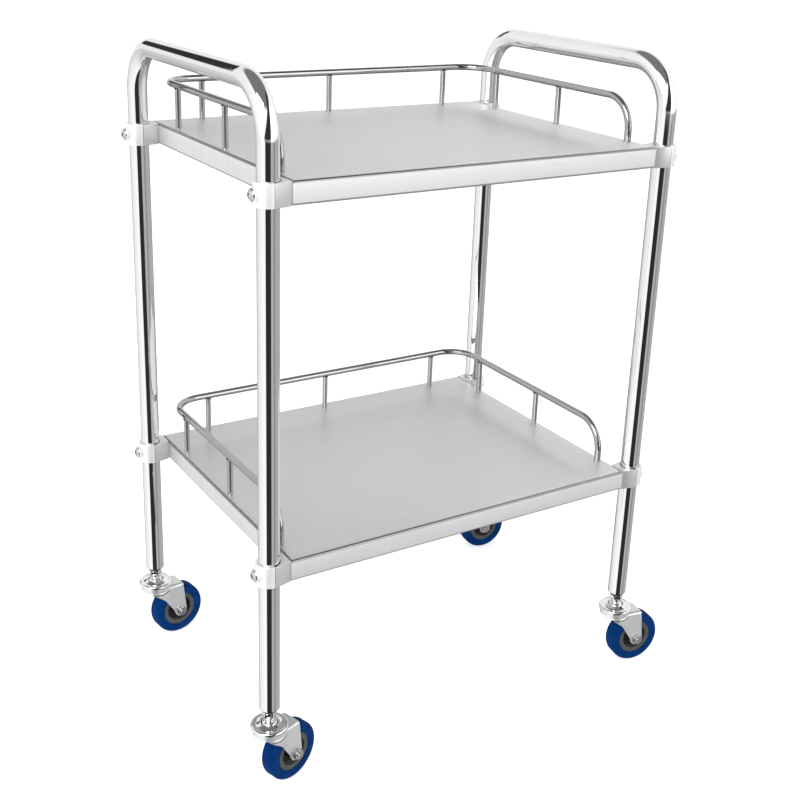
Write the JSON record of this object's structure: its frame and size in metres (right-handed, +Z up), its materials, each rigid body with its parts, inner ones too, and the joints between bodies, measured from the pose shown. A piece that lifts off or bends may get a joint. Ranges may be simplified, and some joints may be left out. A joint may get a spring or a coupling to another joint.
{
  "type": "instrument cart",
  "caption": "Two-shelf stainless instrument cart: looped end frames, folded trays clamped to the legs, guard rails on three sides, swivel casters with blue wheels.",
  "frame": {"origin": "on the floor, below the middle of the cart's outline seen from above with the casters trailing to the right", "axes": "+X along the shelves to the right, +Y from the open front to the back rail, +Z up"},
  "size_m": [0.6483, 0.4318, 0.8765],
  "materials": {
    "mirror_stainless": "mirror-polished stainless tube",
    "brushed_stainless": "brushed along the shelf",
    "polished_rod": "polished stainless rod",
    "bright_clamp": "bright satin die casting",
    "satin_clamp": "satin die casting",
    "bright_fastener": "bright plated",
    "black_plastic": "moulded",
    "caster_chrome": "bright chrome",
    "bearing_steel": "greased hard steel",
    "satin_zinc": "satin zinc plate on pressed steel",
    "blue_tyre": "smooth elastic rubber",
    "grey_hub": "moulded nylon, slightly glossy"
  },
  "bodies": {
    "root": {"left_frame_tube": "mirror_stainless", "right_frame_tube": "mirror_stainless", "upper_tray": "brushed_stainless", "lower_tray": "brushed_stainless", "upper_guard_rail": "polished_rod", "lower_guard_rail": "polished_rod", "upper_rail_posts": "polished_rod", "lower_rail_posts": "polished_rod", "upper_front_left_clamp_cap": "bright_clamp", "upper_front_right_clamp_cap": "bright_clamp", "upper_back_left_clamp_cap": "bright_clamp", "upper_back_right_clamp_cap": "bright_clamp", "lower_front_left_clamp_cap": "bright_clamp", "lower_front_right_clamp_cap": "bright_clamp", "lower_back_left_clamp_cap": "bright_clamp", "lower_back_right_clamp_cap": "bright_clamp", "upper_front_left_clamp_saddle": "satin_clamp", "upper_front_right_clamp_saddle": "satin_clamp", "upper_back_left_clamp_saddle": "satin_clamp", "upper_back_right_clamp_saddle": "satin_clamp", "lower_front_left_clamp_saddle": "satin_clamp", "lower_front_right_clamp_saddle": "satin_clamp", "lower_back_left_clamp_saddle": "satin_clamp", "lower_back_right_clamp_saddle": "satin_clamp", "clamp_bolts": "bright_fastener", "clamp_washers": "bright_fastener", "clamp_nuts": "bright_fastener", "tube_end_plugs": "black_plastic", "front_left_stem": "caster_chrome", "front_right_stem": "caster_chrome", "back_left_stem": "caster_chrome", "back_right_stem": "caster_chrome"},
    "front_left_swivel": {"front_left_swivel_cap": "caster_chrome", "front_left_ball_ring": "bearing_steel", "front_left_fork": "satin_zinc", "front_left_axle_bolt": "bright_fastener", "front_left_axle_nut": "bright_fastener"},
    "front_left_wheel": {"front_left_tyre": "blue_tyre", "front_left_hub": "grey_hub"},
    "front_right_swivel": {"front_right_swivel_cap": "caster_chrome", "front_right_ball_ring": "bearing_steel", "front_right_fork": "satin_zinc", "front_right_axle_bolt": "bright_fastener", "front_right_axle_nut": "bright_fastener"},
    "front_right_wheel": {"front_right_tyre": "blue_tyre", "front_right_hub": "grey_hub"},
    "back_left_swivel": {"back_left_swivel_cap": "caster_chrome", "back_left_ball_ring": "bearing_steel", "back_left_fork": "satin_zinc", "back_left_axle_bolt": "bright_fastener", "back_left_axle_nut": "bright_fastener"},
    "back_left_wheel": {"back_left_tyre": "blue_tyre", "back_left_hub": "grey_hub"},
    "back_right_swivel": {"back_right_swivel_cap": "caster_chrome", "back_right_ball_ring": "bearing_steel", "back_right_fork": "satin_zinc", "back_right_axle_bolt": "bright_fastener", "back_right_axle_nut": "bright_fastener"},
    "back_right_wheel": {"back_right_tyre": "blue_tyre", "back_right_hub": "grey_hub"}
  },
  "joints": [
    {"name": "front_left_swing", "type": "hinge", "parent": "root", "child": "front_left_swivel", "pos_m": [-0.3005, -0.19, 0.088], "axis": [0, 0, 1], "continuous": true},
    {"name": "front_left_roll", "type": "hinge", "parent": "front_left_swivel", "child": "front_left_wheel", "pos_m": [-0.26959, -0.17996, 0.038], "axis": [-0.309, 0.9511, 0], "continuous": true},
    {"name": "front_right_swing", "type": "hinge", "parent": "root", "child": "front_right_swivel", "pos_m": [0.2535, -0.19, 0.088], "axis": [0, 0, 1], "continuous": true},
    {"name": "front_right_roll", "type": "hinge", "parent": "front_right_swivel", "child": "front_right_wheel", "pos_m": [0.2856, -0.19508, 0.038], "axis": [0.1564, 0.9877, 0], "continuous": true},
    {"name": "back_left_swing", "type": "hinge", "parent": "root", "child": "back_left_swivel", "pos_m": [-0.3005, 0.19, 0.088], "axis": [0, 0, 1], "continuous": true},
    {"name": "back_left_roll", "type": "hinge", "parent": "back_left_swivel", "child": "back_left_wheel", "pos_m": [-0.26832, 0.19452, 0.038], "axis": [-0.1392, 0.9903, 0], "continuous": true},
    {"name": "back_right_swing", "type": "hinge", "parent": "root", "child": "back_right_swivel", "pos_m": [0.2535, 0.19, 0.088], "axis": [0, 0, 1], "continuous": true},
    {"name": "back_right_roll", "type": "hinge", "parent": "back_right_swivel", "child": "back_right_wheel", "pos_m": [0.28582, 0.1866, 0.038], "axis": [0.1045, 0.9945, 0], "continuous": true}
  ]
}
